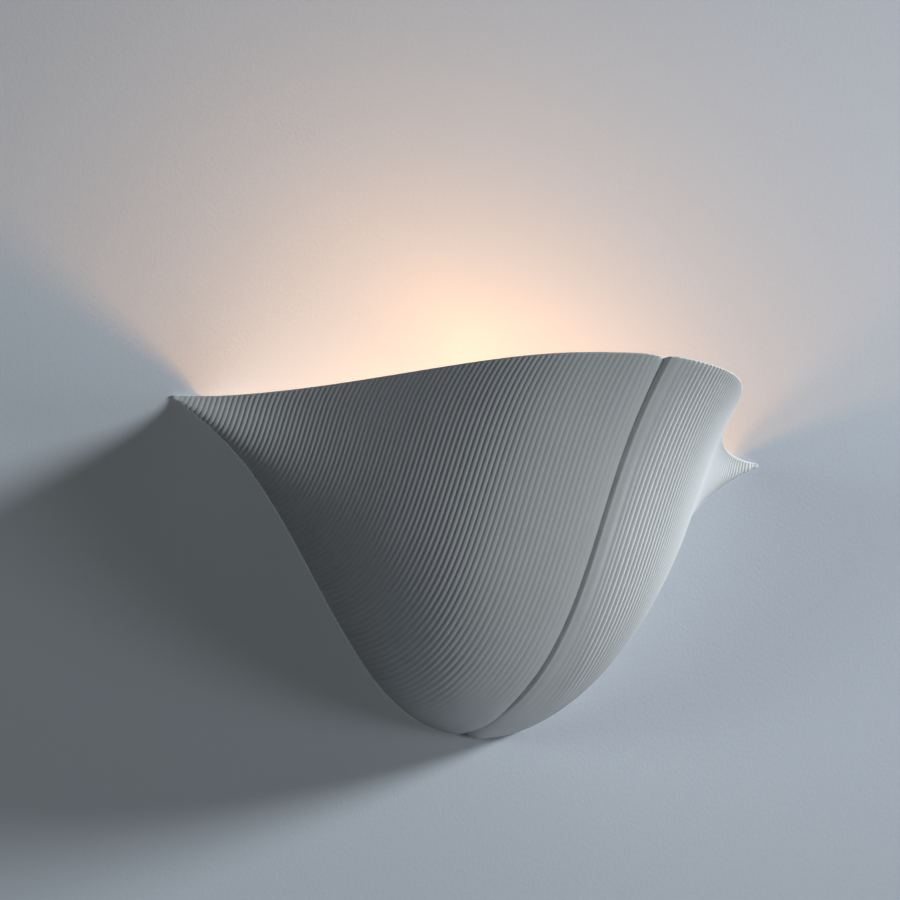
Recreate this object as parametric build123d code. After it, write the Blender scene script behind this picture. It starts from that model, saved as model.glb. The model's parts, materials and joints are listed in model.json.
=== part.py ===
from build123d import *
import os
import math

os.makedirs("parts", exist_ok=True)

# ----------------------------------------------------------------------------
# Shell wall sconce (uplighter).
# Frame: origin at the centre of the two fixing slots, on the mounting plane.
# +Z up, +X to the right seen from the front. The back faces lie in the plane
# Y = 0 and the fitting stands out from it towards -Y. Millimetres.
# ----------------------------------------------------------------------------

# --- driving dimensions of the plaster shell --------------------------------
HALF_WIDTH = 200.0        # centre line to the tip of either wing
RIM_Z = 80.0              # height of the flat top rim above the fixing slots
WALL_T = 5.0              # plaster wall thickness, measured square to the face

# plan of the rim: fraction of the half width -> projection / half width
STATIONS = [
    # x,     projection, drop at the back edge   (as fractions of HALF_WIDTH)
    (0.000, 1.1500, 0.9110),
    (0.009, 1.1570, 0.9150),
    (0.022, 1.1690, 0.9205),
    (0.038, 1.1810, 0.9245),
    (0.057, 1.1865, 0.9262),
    (0.085, 1.1838, 0.9225),
    (0.130, 1.1685, 0.9125),
    (0.190, 1.1410, 0.8890),
    (0.250, 1.1060, 0.8500),
    (0.310, 1.0560, 0.7970),
    (0.370, 0.9840, 0.7260),
    (0.430, 0.8850, 0.6440),
    (0.490, 0.7640, 0.5540),
    (0.550, 0.6283, 0.4592),
    (0.610, 0.4920, 0.3670),
    (0.670, 0.3670, 0.2825),
    (0.730, 0.2590, 0.2080),
    (0.790, 0.1710, 0.1475),
    (0.850, 0.1010, 0.0980),
    (0.910, 0.0525, 0.0560),
    (0.955, 0.0250, 0.0290),
    (0.985, 0.0085, 0.0110),
    (0.996, 0.0022, 0.0030),
]
# the profile from the rim (1, 0) down to the back edge (0, 1): Bezier control
# points, as fractions of the projection and of the drop at that station
PROFILE = [(1.0, 0.0), (0.8111, 0.1663), (0.6789, 0.3776), (0.6067, 0.6045),
           (0.5133, 0.8694), (0.2435, 1.0), (0.0, 1.0)]
# the hollow side follows a softer version of the centre crease
CREASE_SOFT = [(0.000, 1.1600, 0.9150), (0.020, 1.1660, 0.9175),
               (0.045, 1.1790, 0.9225), (0.075, 1.1830, 0.9235)]
INNER_END = 0.885         # the hollow stops here; the wing tips are solid

# --- hanging strap -----------------------------------------------------------
STRAP_Z = 35.0
STRAP_H = 15.0
STRAP_T = 3.0
STRAP_BACK_Y = -10.0
STRAP_HALF = 127.0
BOSS_X0, BOSS_X1 = 99.0, 139.0
BOSS_Z0, BOSS_Z1 = 24.0, 46.0
BOSS_DEPTH = 22.0
STRAP_SCREW_X = (107.0, 120.0)

# --- wall plate ---------------------------------------------------------------
PLATE_T = 1.5
PLATE_RAISE = 8.0         # gap behind the raised panel
PANEL_HALF = 62.0
FOOT_OUT = 85.0
PLATE_HALF_H = 25.0
SLOT_X = 73.0
SLOT_R = 2.5
SLOT_LEN = 10.0
HOOK_X = 40.0
HOOK_W = 14.0
HOOK_FRONT = -15.5         # 1 mm of play in front of the strap
CABLE_Z = 7.0
GROMMET_HOLE_R = 9.0
GROMMET_BORE_R = 4.5

# --- lamp bracket and lampholder ---------------------------------------------
LEG_TOP = -45.0
BRACKET_T = 2.0
BRACKET_HALF = 16.0
AXIS_Y = -75.0
BRACKET_TIP_Y = -93.0
HOLDER_R = 14.0
HOLDER_H = 50.0
THREAD_R = 7.3            # inside radius of the screw shell
LAMP_R = 22.5

panel_front = -(PLATE_RAISE + PLATE_T)      # Y of the raised panel's front


# ----------------------------------------------------------------------------
# helpers
# ----------------------------------------------------------------------------
def box(x0, x1, y0, y1, z0, z1):
    return Pos((x0 + x1) / 2, (y0 + y1) / 2, (z0 + z1) / 2) * Box(
        abs(x1 - x0), abs(y1 - y0), abs(z1 - z0))


def cyl_z(r, z0, z1, x=0.0, y=0.0):
    return Pos(x, y, (z0 + z1) / 2) * Cylinder(r, abs(z1 - z0))


def cyl_y(r, y0, y1, x=0.0, z=0.0):
    return Pos(x, (y0 + y1) / 2, z) * Rot(90, 0, 0) * Cylinder(r, abs(y1 - y0))


def cyl_x(r, x0, x1, y=0.0, z=0.0):
    return Pos((x0 + x1) / 2, y, z) * Rot(0, 90, 0) * Cylinder(r, abs(x1 - x0))


def lathe(points, x=0.0, y=0.0):
    """Solid of revolution about a vertical axis from (radius, z) points."""
    pts = [Vector(r, 0, z) for r, z in points]
    wire = Wire.make_polygon(pts, close=True)
    return Pos(x, y, 0) * revolve(Face(wire), axis=Axis.Z)


def one(shape):
    s = shape.solids()
    return s[0] if len(s) == 1 else Compound(children=list(s))


def pchip(xs, ys):
    n = len(xs)
    h = [xs[i + 1] - xs[i] for i in range(n - 1)]
    d = [(ys[i + 1] - ys[i]) / h[i] for i in range(n - 1)]
    m = [0.0] * n
    m[0], m[-1] = d[0], d[-1]
    for i in range(1, n - 1):
        if d[i - 1] * d[i] > 0:
            w1, w2 = 2 * h[i] + h[i - 1], h[i] + 2 * h[i - 1]
            m[i] = (w1 + w2) / (w1 / d[i - 1] + w2 / d[i])

    def f(x):
        i = 0
        while i < n - 2 and x > xs[i + 1]:
            i += 1
        t = (x - xs[i]) / h[i]
        return ((2 * t ** 3 - 3 * t ** 2 + 1) * ys[i] + (t ** 3 - 2 * t ** 2 + t) * h[i] * m[i]
                + (-2 * t ** 3 + 3 * t ** 2) * ys[i + 1] + (t ** 3 - t ** 2) * h[i] * m[i + 1])
    return f


def bezier(t):
    n = len(PROFILE) - 1
    a = b = 0.0
    for k, (u, v) in enumerate(PROFILE):
        w = math.comb(n, k) * t ** k * (1 - t) ** (n - k)
        a += w * u
        b += w * v
    return a, b


# ----------------------------------------------------------------------------
# 1. the shell: one plaster casting, a fluted fan folded at its centre line
# ----------------------------------------------------------------------------
def outer_section(x, dd, hh):
    X = x * HALF_WIDTH
    D, H = dd * HALF_WIDTH, hh * HALF_WIDTH
    pts = [Vector(X, -D * u, RIM_Z - H * v) for u, v in PROFILE]
    curve = Edge.make_bezier(*pts)
    back = Edge.make_line(Vector(X, 0, RIM_Z - H), Vector(X, 0, RIM_Z))
    top = Edge.make_line(Vector(X, 0, RIM_Z), Vector(X, -D, RIM_Z))
    return Wire([curve, back, top])


def inner_surface():
    rows = CREASE_SOFT + [r for r in STATIONS if r[0] > 0.11]
    xs = [r[0] for r in rows] + [1.0]
    fd = pchip(xs, [r[1] for r in rows] + [0.0])
    fh = pchip(xs, [r[2] for r in rows] + [0.0])

    def p(x, t):
        u, v = bezier(t)
        s = abs(x)
        return (x * HALF_WIDTH, fd(s) * HALF_WIDTH * u, -fh(s) * HALF_WIDTH * v)

    ts = [0.0, 0.03, 0.07, 0.12, 0.2, 0.3, 0.4, 0.5, 0.6, 0.7, 0.8, 0.88, 0.95, 1.0]
    grid = []
    N = 190
    for j, t in enumerate(ts):
        row = []
        for i in range(-8, N):
            x = i / 200.0
            e = 1e-4
            t0, t1 = max(0.0, t - e), min(1.0, t + e)
            a, b = p(x - e, t), p(x + e, t)
            c, d = p(x, t0), p(x, t1)
            du = [b[k] - a[k] for k in range(3)]
            dv = [d[k] - c[k] for k in range(3)]
            n = (du[1] * dv[2] - du[2] * dv[1], du[2] * dv[0] - du[0] * dv[2],
                 du[0] * dv[1] - du[1] * dv[0])
            L = math.sqrt(sum(k * k for k in n))
            n = [k / L for k in n]
            if n[1] < 0:                     # point forwards, out of the hollow
                n = [-k for k in n]
            if t > 0.5 and n[2] > 0:
                n = [-k for k in n]
            q = p(x, t)
            row.append(tuple(q[k] - WALL_T * n[k] for k in range(3)))
        grid.append(row)

    def section(c):
        """(distance from wall, height) points of the hollow at X = c."""
        out = []
        for row in grid:
            for a, b in zip(row[:-1], row[1:]):
                if a[0] <= c < b[0]:
                    w = (c - a[0]) / (b[0] - a[0])
                    out.append((a[1] + w * (b[1] - a[1]), a[2] + w * (b[2] - a[2])))
                    break
        return out
    return section


def resample(pts, n):
    acc = [0.0]
    for a, b in zip(pts[:-1], pts[1:]):
        acc.append(acc[-1] + math.hypot(b[0] - a[0], b[1] - a[1]))
    fx = pchip(acc, [p[0] for p in pts])
    fy = pchip(acc, [p[1] for p in pts])
    return [(fx(acc[-1] * i / (n - 1)), fy(acc[-1] * i / (n - 1))) for i in range(n)]


def make_shell():
    right = Solid.make_loft([outer_section(*s) for s in STATIONS])
    outer = right + mirror(right, about=Plane.YZ)
    section = inner_surface()
    over = 4.0
    wires = []
    for c in [0.0, 0.03, 0.06, 0.10, 0.16, 0.23, 0.30, 0.37, 0.44, 0.51, 0.58,
              0.65, 0.72, 0.78, 0.83, INNER_END]:
        X = c * HALF_WIDTH
        pts = section(X + 1e-6)
        # run the curve on past the rim, and straight back through the plane Y = 0
        (d0, z0), (d1, z1) = pts[0], pts[1]
        k = (over - z0) / (z0 - z1)
        if k > 0:
            pts = [(d0 + (d0 - d1) * k, over)] + pts
        pts = pts + [(-over, pts[-1][1])]
        pts = resample(pts, 15)
        ps = [Vector(X, -d, RIM_Z + z) for d, z in pts]
        curve = Edge.make_spline(ps, parameters=[i / 14 for i in range(15)])
        a, b = ps[0], ps[-1]
        corner = Vector(X, over, RIM_Z + over)
        wires.append(Wire([curve, Edge.make_line(b, corner), Edge.make_line(corner, a)]))
    hollow = Solid.make_loft(wires)
    hollow = hollow + mirror(hollow, about=Plane.YZ)
    shell = outer - hollow
    # cast bosses for the hanging strap
    strap_front = STRAP_BACK_Y - STRAP_T
    for s in (-1, 1):
        blk = box(s * BOSS_X0, s * BOSS_X1, strap_front - BOSS_DEPTH, strap_front,
                  BOSS_Z0, BOSS_Z1)
        inner_edge = [e for e in blk.edges().filter_by(Axis.Z)
                      if abs(e.center().X - s * BOSS_X0) < 0.1
                      and e.center().Y < strap_front - BOSS_DEPTH + 0.1]
        blk = fillet(inner_edge, 9.0)
        blk = blk & outer
        shell = shell + blk
    for s in (-1, 1):
        for x in STRAP_SCREW_X:
            shell = shell - cyl_y(3.0, strap_front - 9.0, strap_front + 0.01, s * x, STRAP_Z)
    return one(shell), outer


shell, outer_solid = make_shell()
parts = {"shell": shell}

# ----------------------------------------------------------------------------
# 2. hanging strap and its fixings (all fixed to the shell)
# ----------------------------------------------------------------------------
strap_front = STRAP_BACK_Y - STRAP_T
strap = box(-STRAP_HALF, STRAP_HALF, strap_front, STRAP_BACK_Y,
            STRAP_Z - STRAP_H / 2, STRAP_Z + STRAP_H / 2)
strap = fillet(strap.edges().filter_by(Axis.Y), 3.0)
for s in (-1, 1):
    for x in STRAP_SCREW_X:
        strap = strap - cyl_y(2.25, strap_front - 1, STRAP_BACK_Y + 1, s * x, STRAP_Z)
strap = strap - cyl_y(2.05, strap_front - 1, STRAP_BACK_Y + 1, 0, STRAP_Z)
parts["hanger_strap"] = one(strap)

inserts, washers, screws = [], [], []
for s in (-1, 1):
    for x in STRAP_SCREW_X:
        X = s * x
        ins = cyl_y(3.0, strap_front - 8.0, strap_front, X, STRAP_Z) - cyl_y(
            2.0, strap_front - 8.5, strap_front + 0.5, X, STRAP_Z)
        inserts.append(ins.solids()[0])
        w = cyl_y(4.5, STRAP_BACK_Y, STRAP_BACK_Y + 0.8, X, STRAP_Z) - cyl_y(
            2.15, STRAP_BACK_Y - 1, STRAP_BACK_Y + 2, X, STRAP_Z)
        washers.append(w.solids()[0])
        head_y = STRAP_BACK_Y + 0.8
        sc = cyl_y(2.0, strap_front - 7.0, head_y, X, STRAP_Z) + cyl_y(
            3.8, head_y, head_y + 2.6, X, STRAP_Z)
        sc = fillet(sc.faces().sort_by(Axis.Y)[-1].edges(), 0.9)
        for a in (0, 90):
            sc = sc - Pos(X, head_y + 2.2, STRAP_Z) * Rot(0, a, 0) * Box(3.6, 1.6, 0.9)
        screws.append(sc.solids()[0])
parts["strap_inserts"] = Compound(children=inserts)
parts["strap_washers"] = Compound(children=washers)
parts["strap_screws"] = Compound(children=screws)

# thumb screw that clamps the strap against the plate's tongue
LOCK_HEAD_R = 7.0
TIP_R = 1.4
lock = cyl_y(2.0, panel_front - 14.0, panel_front - 0.6, 0, STRAP_Z)
lock = lock - cyl_y(TIP_R + 0.05, panel_front - 1.8, panel_front, 0, STRAP_Z)
head = cyl_y(LOCK_HEAD_R, panel_front - 20.0, panel_front - 14.0, 0, STRAP_Z)
head = chamfer(head.edges().filter_by(GeomType.CIRCLE), 0.8)
for i in range(18):
    a = math.radians(20 * i)
    head = head - cyl_y(0.7, panel_front - 21, panel_front - 13,
                        (LOCK_HEAD_R + 0.15) * math.cos(a), STRAP_Z + (LOCK_HEAD_R + 0.15) * math.sin(a))
collar = cyl_y(4.0, panel_front - 14.0, panel_front - 12.0, 0, STRAP_Z)
parts["lock_screw"] = one(lock + head + collar)
parts["lock_tip"] = one(cyl_y(TIP_R, panel_front - 1.8, panel_front, 0, STRAP_Z))

# ----------------------------------------------------------------------------
# 3. wall plate: pressed hat section with two hooks and a tongue
# ----------------------------------------------------------------------------
plate = box(-PANEL_HALF, PANEL_HALF, panel_front, -PLATE_RAISE, -PLATE_HALF_H, PLATE_HALF_H)
for s in (-1, 1):
    plate = plate + box(s * (PANEL_HALF - PLATE_T), s * PANEL_HALF, panel_front, 0,
                        -PLATE_HALF_H, PLATE_HALF_H)
    foot = box(s * (PANEL_HALF - PLATE_T), s * FOOT_OUT, -PLATE_T, 0, -PLATE_HALF_H, PLATE_HALF_H)
    plate = plate + foot
# rounded outer corners of the feet
corners = [e for e in plate.edges().filter_by(Axis.Y)
           if abs(abs(e.center().X) - FOOT_OUT) < 0.1]
plate = fillet(corners, 5.0)
for s in (-1, 1):
    X = s * SLOT_X
    half = SLOT_LEN / 2 - SLOT_R
    slot = box(X - half, X + half, -PLATE_T - 1, 1, -SLOT_R, SLOT_R)
    slot = slot + cyl_y(SLOT_R, -PLATE_T - 1, 1, X - half, 0) + cyl_y(SLOT_R, -PLATE_T - 1, 1, X + half, 0)
    plate = plate - slot
    # hook: the panel runs up, turns forward under the strap and up in front of it
    hx0, hx1 = s * HOOK_X - HOOK_W / 2, s * HOOK_X + HOOK_W / 2
    shelf_top = STRAP_Z - STRAP_H / 2
    hook = box(hx0, hx1, panel_front, -PLATE_RAISE, PLATE_HALF_H - 1, shelf_top + 4)
    hook = hook + box(hx0, hx1, HOOK_FRONT, panel_front, shelf_top - PLATE_T, shelf_top)
    hook = hook + box(hx0, hx1, HOOK_FRONT, HOOK_FRONT + PLATE_T, shelf_top - PLATE_T, shelf_top + 10)
    lip = [e for e in hook.edges().filter_by(Axis.Y)
           if abs(e.center().Z - (shelf_top + 10)) < 0.1]
    hook = fillet(lip, 3.0)
    plate = plate + hook
tongue = box(-10, 10, panel_front, -PLATE_RAISE, PLATE_HALF_H - 1, STRAP_Z + 10)
tongue = fillet([e for e in tongue.edges().filter_by(Axis.Y)
                 if abs(e.center().Z - (STRAP_Z + 10)) < 0.1], 3.0)
plate = plate + tongue
plate = plate - cyl_y(GROMMET_HOLE_R, panel_front - 1, -PLATE_RAISE + 1, 0, CABLE_Z)
BR_SCREW_X, BR_SCREW_Z = 10.0, -16.0
for s in (-1, 1):
    plate = plate - cyl_y(2.15, panel_front - 1, -PLATE_RAISE + 1, s * BR_SCREW_X, BR_SCREW_Z)
EARTH_X, EARTH_Z = 38.0, 6.0
plate = plate - cyl_y(2.15, panel_front - 1, -PLATE_RAISE + 1, EARTH_X, EARTH_Z)
TB_X0, TB_X1, TB_Z0, TB_Z1 = -56.0, -24.0, 4.0, 20.0
TB_FIX_X, TB_FIX_Z = -45.5, 12.0
plate = plate - cyl_y(1.55, panel_front - 1, -PLATE_RAISE + 1, TB_FIX_X, TB_FIX_Z)
parts["wall_plate"] = one(plate)

# rubber grommet in the cable hole
g0, g1 = panel_front - 1.8, -PLATE_RAISE + 1.8
grommet = cyl_y(GROMMET_HOLE_R - 0.05, g0, g1, 0, CABLE_Z)
grommet = grommet + cyl_y(11.0, g0, panel_front, 0, CABLE_Z) + cyl_y(11.0, -PLATE_RAISE, g1, 0, CABLE_Z)
grommet = fillet([e for e in grommet.edges().filter_by(GeomType.CIRCLE)
                  if abs(e.radius - 11.0) < 0.01 and (abs(e.center().Y - g0) < 0.01 or abs(e.center().Y - g1) < 0.01)], 0.8)
grommet = grommet - cyl_y(GROMMET_BORE_R, g0 - 1, g1 + 1, 0, CABLE_Z)
parts["cable_grommet"] = one(grommet)

# ----------------------------------------------------------------------------
# 4. lamp bracket: bent strip with turned-up edges
# ----------------------------------------------------------------------------
leg_bottom = LEG_TOP - BRACKET_T
br_back = panel_front
br_front = panel_front - BRACKET_T
bracket = box(-BRACKET_HALF, BRACKET_HALF, br_front, br_back, leg_bottom, -6.0)
bracket = bracket + box(-BRACKET_HALF, BRACKET_HALF, BRACKET_TIP_Y, br_back, leg_bottom, LEG_TOP)
bend = [e for e in bracket.edges().filter_by(Axis.X)
        if abs(e.center().Y - br_back) < 0.1 and abs(e.center().Z - leg_bottom) < 0.1]
bracket = fillet(bend, 3.0)
inside = [e for e in bracket.edges().filter_by(Axis.X)
          if abs(e.center().Y - br_front) < 0.1 and abs(e.center().Z - LEG_TOP) < 0.1]
bracket = fillet(inside, 1.5)
tipc = [e for e in bracket.edges().filter_by(Axis.Z)
        if abs(e.center().Y - BRACKET_TIP_Y) < 0.1]
bracket = fillet(tipc, 8.0)
topc = [e for e in bracket.edges().filter_by(Axis.Y) if abs(e.center().Z + 6.0) < 0.1]
bracket = fillet(topc, 3.0)
for s in (-1, 1):
    rib = box(s * (BRACKET_HALF - 1.5), s * BRACKET_HALF, -60.0, br_front, LEG_TOP, LEG_TOP + 7.0)
    e = [k for k in rib.edges().filter_by(Axis.X)
         if abs(k.center().Y + 60.0) < 0.1 and abs(k.center().Z - (LEG_TOP + 7.0)) < 0.1]
    rib = fillet(e, 5.0)
    bracket = bracket + rib
bracket = bracket - cyl_z(5.1, leg_bottom - 1, LEG_TOP + 1, 0, AXIS_Y)
for s in (-1, 1):
    bracket = bracket - cyl_y(2.15, br_front - 1, br_back + 1, s * BR_SCREW_X, BR_SCREW_Z)
parts["lamp_bracket"] = one(bracket)


def pan_screw(x, z, y_head, y_end, r=2.0, head_r=3.8, head_h=2.6):
    """Pan head screw along Y with its head at the front."""
    s = cyl_y(r, y_head, y_end, x, z) + cyl_y(head_r, y_head - head_h, y_head, x, z)
    s = fillet(s.faces().sort_by(Axis.Y)[0].edges(), 0.9)
    for a in (0, 90):
        s = s - Pos(x, y_head - head_h + 0.4, z) * Rot(0, a, 0) * Box(head_r * 0.95, 1.6, r * 0.45)
    return s.solids()[0]


def hex_nut(x, z, y0, y1, af=7.0, r=2.05, turn=0.0):
    n = Pos(x, (y0 + y1) / 2, z) * Rot(90, 0, 0) * Rot(0, 0, turn) * extrude(
        RegularPolygon(af / math.sqrt(3), 6), abs(y1 - y0) / 2, both=True)
    return (n - cyl_y(r, y0 - 1, y1 + 1, x, z)).solids()[0]


parts["bracket_screws"] = Compound(children=[
    pan_screw(s * BR_SCREW_X, BR_SCREW_Z, br_front, -PLATE_RAISE + 4.2) for s in (-1, 1)])
parts["bracket_nuts"] = Compound(children=[
    hex_nut(s * BR_SCREW_X, BR_SCREW_Z, -PLATE_RAISE, -PLATE_RAISE + 3.2) for s in (-1, 1)])

# ----------------------------------------------------------------------------
# 5. lampholder for a 14 mm screw cap, nipple and nut
# ----------------------------------------------------------------------------
hz0, hz1 = LEG_TOP, LEG_TOP + HOLDER_H       # -45 .. 5
bore_floor = hz0 + 17.0
holder = lathe([(0, hz0), (13.0, hz0), (HOLDER_R, hz0 + 1.0), (HOLDER_R, hz0 + 20), (13.4, hz0 + 21),
                (13.4, hz0 + 22), (HOLDER_R, hz0 + 23), (13.6, hz1 - 1.2), (12.6, hz1), (9.2, hz1),
                (9.2, hz1 - 8.0), (7.75, hz1 - 9.5), (7.75, bore_floor), (0, bore_floor)], 0, AXIS_Y)
holder = holder - cyl_z(5.0, hz0 - 1, hz0 + 9.0, 0, AXIS_Y)           # nipple thread
TERM_Z = hz0 + 13.0
for s in (-1, 1):
    # screw recesses from the sides and lead holes from the back
    holder = holder - cyl_x(2.6, s * 9.0, s * 20.0, AXIS_Y, TERM_Z)
    holder = holder - cyl_x(1.5, s * 4.9, s * 9.5, AXIS_Y, TERM_Z)
    holder = holder - cyl_y(1.4, AXIS_Y + 5.0, AXIS_Y + 20.0, s * 6.0, TERM_Z)
parts["holder_body"] = one(holder)

thread = cyl_z(7.7, bore_floor, hz1 - 10.0, 0, AXIS_Y) - cyl_z(THREAD_R, bore_floor - 1, hz1, 0, AXIS_Y)
parts["holder_thread"] = one(thread)

# centre contact: sprung tongue bent over the floor of the bore
c_top = bore_floor + 4.5
prof = [(-5.6, bore_floor), (1.5, bore_floor), (4.6, c_top - 1.6), (2.5, c_top), (-3.0, c_top),
        (-3.0, c_top - 0.6), (2.2, c_top - 0.6), (3.7, c_top - 1.7), (1.2, bore_floor + 0.6), (-5.6, bore_floor + 0.6)]
tongue_face = Face(Wire.make_polygon([Vector(x, 0, z) for x, z in prof], close=True))
tongue_c = Pos(0, AXIS_Y, 0) * extrude(tongue_face, 2.0, both=True)
parts["holder_contact"] = one(tongue_c)

tscrews = []
for s in (-1, 1):
    t = cyl_x(1.45, s * 5.2, s * 9.2, AXIS_Y, TERM_Z) + cyl_x(2.5, s * 9.0, s * 11.0, AXIS_Y, TERM_Z)
    t = t - box(s * 10.2, s * 11.5, AXIS_Y - 3, AXIS_Y + 3, TERM_Z - 0.35, TERM_Z + 0.35)
    tscrews.append(t.solids()[0])
parts["holder_screws"] = Compound(children=tscrews)

nipple = cyl_z(5.0, LEG_TOP - 11.0, hz0 + 9.0, 0, AXIS_Y) - cyl_z(4.0, LEG_TOP - 12.0, hz0 + 10.0, 0, AXIS_Y)
parts["holder_nipple"] = one(nipple)
nnut = Pos(0, AXIS_Y, leg_bottom - 2.0) * extrude(RegularPolygon(14.0 / math.sqrt(3), 6), 2.0, both=True)
nnut = nnut - cyl_z(5.05, leg_bottom - 6, leg_bottom + 1, 0, AXIS_Y)
parts["holder_nut"] = one(nnut)

# ----------------------------------------------------------------------------
# 6. lamp: opal golf ball with a 14 mm screw cap
# ----------------------------------------------------------------------------
cap_bottom = c_top + 3.0
cap_top = hz1 + 0.4
cap = lathe([(0, cap_bottom), (5.2, cap_bottom), (6.95, cap_bottom + 1.5), (6.95, cap_top), (0, cap_top)], 0, AXIS_Y)
parts["lamp_cap"] = one(cap)
parts["lamp_insulator"] = one(lathe([(2.2, c_top + 0.7), (3.4, c_top + 0.7), (5.2, cap_bottom), (2.2, cap_bottom)], 0, AXIS_Y))
parts["lamp_contact"] = one(lathe([(0, c_top), (1.6, c_top), (2.15, c_top + 0.5), (2.15, cap_bottom), (0, cap_bottom)], 0, AXIS_Y))
globe_z = cap_top + 33.0
col_top = cap_top + 19.0
r_col = math.sqrt(LAMP_R ** 2 - (globe_z - col_top) ** 2)
collar_l = lathe([(0, cap_top), (9.0, cap_top), (9.6, cap_top + 1.2), (11.0, cap_top + 8.0),
                  (14.2, cap_top + 14.0), (r_col, col_top), (0, col_top)], 0, AXIS_Y)
parts["lamp_collar"] = one(collar_l)
globe = Pos(0, AXIS_Y, globe_z) * (Sphere(LAMP_R) - Sphere(LAMP_R - 1.2))
globe = globe & box(-30, 30, AXIS_Y - 30, AXIS_Y + 30, col_top, globe_z + 40)
parts["lamp_globe"] = one(globe)

# ----------------------------------------------------------------------------
# 7. terminal block
# ----------------------------------------------------------------------------
tb_front = panel_front - 16.0
tb = box(TB_X0, TB_X1, tb_front, panel_front, TB_Z0, TB_Z1)
tb = fillet(tb.edges().filter_by(Axis.Z), 1.0)
POLES = (-51.0, -40.0, -29.0)
TB_BORE_R = 1.75
TB_MID = (TB_Z0 + TB_Z1) / 2
TB_Y = panel_front - 8.0
clamps, tbs = [], []
for x in POLES:
    tb = tb - cyl_z(2.6, TB_Z0 - 1, TB_Z1 + 1, x, TB_Y)
    c = cyl_z(2.55, TB_Z0 + 1.5, TB_Z1 - 1.5, x, TB_Y)
    c = c - cyl_z(TB_BORE_R, TB_Z0 + 1.0, TB_MID - 0.5, x, TB_Y)
    c = c - cyl_z(TB_BORE_R, TB_MID + 0.5, TB_Z1 - 1.0, x, TB_Y)
    for z in (TB_Z0 + 4.4, TB_Z1 - 4.4):
        tb = tb - cyl_y(1.9, tb_front - 1, TB_Y - 2.0, x, z)
        c = c - cyl_y(1.1, TB_Y - 4, TB_Y, x, z)
        sc = cyl_y(1.05, TB_Y - 5.0, TB_Y - 1.85, x, z) + cyl_y(1.8, tb_front + 1.0, TB_Y - 4.9, x, z)
        sc = sc - box(x - 0.3, x + 0.3, tb_front, tb_front + 1.6, z - 2, z + 2)
        tbs.append(sc.solids()[0])
    clamps.append(c.solids()[0])
tb = tb - cyl_y(1.6, tb_front - 1, panel_front + 1, TB_FIX_X, TB_FIX_Z)
tb = tb - cyl_y(2.85, tb_front - 1, panel_front - 6.0, TB_FIX_X, TB_FIX_Z)
parts["terminal_body"] = one(tb)
parts["terminal_clamps"] = Compound(children=clamps)
parts["terminal_screws"] = Compound(children=tbs)
parts["terminal_fixing"] = pan_screw(TB_FIX_X, TB_FIX_Z, panel_front - 6.0, -PLATE_RAISE + 3.0,
                                     r=1.5, head_r=2.8, head_h=2.0)

# ----------------------------------------------------------------------------
# 8. earth post: screw from behind, ring tag and nut
# ----------------------------------------------------------------------------
es = cyl_y(2.0, panel_front - 9.0, -PLATE_RAISE, EARTH_X, EARTH_Z) + cyl_y(
    3.8, -PLATE_RAISE, -PLATE_RAISE + 2.4, EARTH_X, EARTH_Z)
parts["earth_screw"] = one(es)
tag = cyl_y(4.2, panel_front - 0.8, panel_front, EARTH_X, EARTH_Z)
tag = tag + box(EARTH_X - 2.0, EARTH_X + 2.0, panel_front - 0.8, panel_front, EARTH_Z - 10.0, EARTH_Z)
tag = tag - cyl_y(2.15, panel_front - 2, panel_front + 1, EARTH_X, EARTH_Z)
barrel_y = panel_front - 2.4
tag = tag + (cyl_z(2.4, EARTH_Z - 15.0, EARTH_Z - 8.0, EARTH_X, barrel_y) - cyl_z(
    1.3, EARTH_Z - 15.5, EARTH_Z - 10.0, EARTH_X, barrel_y))
parts["earth_tag"] = one(tag)
parts["earth_nut"] = hex_nut(EARTH_X, EARTH_Z, panel_front - 4.0, panel_front - 0.8, turn=15.0)


# ----------------------------------------------------------------------------
# 9. internal leads: lampholder to terminal block, earth tag to block
# ----------------------------------------------------------------------------
def lead(points, dia, name):
    pts = [Vector(*p) for p in points]
    radii = []
    for a, b, c in zip(pts[:-2], pts[1:-1], pts[2:]):
        u, v = b - a, c - b
        turn = math.radians(u.get_angle(v))
        radii.append(0.45 * min(u.length, v.length) / math.tan(turn / 2))
    path = FilletPolyline(*pts, radius=radii)
    w = path.wire() if hasattr(path, "wire") else Wire(path.edges())
    start = pts[0]
    prof = Plane(origin=start, z_dir=(pts[1] - pts[0])) * Circle(dia / 2)
    tube = sweep(prof, path=w)
    s = tube.solids()[0]
    want = math.pi * dia * dia / 4 * w.length
    print(name, "length", round(w.length, 1), "radii", [round(r, 1) for r in radii],
          "volume ratio", round(s.volume / want, 4))
    return s


LEAD_D = 2.2
y_in = AXIS_Y + 8.0
parts["lead_live"] = lead([(-6, y_in, TERM_Z), (-6, -50, TERM_Z), (-13, -36, TERM_Z + 1.5), (-27, -25, -24),
                           (-37, -19.5, -12), (-40, TB_Y, -2), (-40, TB_Y, TB_Z0 + 5)], LEAD_D, "lead_live")
parts["lead_neutral"] = lead([(6, y_in, TERM_Z), (6, -50, TERM_Z), (1, -36, TERM_Z + 6), (-13, -25, -19),
                              (-24, -19.5, -10), (-29, TB_Y, -2), (-29, TB_Y, TB_Z0 + 5)], LEAD_D, "lead_neutral")
parts["lead_earth"] = lead([(EARTH_X, barrel_y, EARTH_Z - 10.5), (EARTH_X, barrel_y, EARTH_Z - 20),
                            (30, -15, -25), (12, -19, -29), (-12, -20, -31.5), (-36, -19, -26), (-48.5, TB_Y + 0.6, -13),
                            (-51, TB_Y, -4), (-51, TB_Y, TB_Z0 + 5)], LEAD_D, "lead_earth")

# ----------------------------------------------------------------------------
for name, shape in parts.items():
    shape.label = name
    export_step(shape, f"parts/{name}.step")
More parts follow.
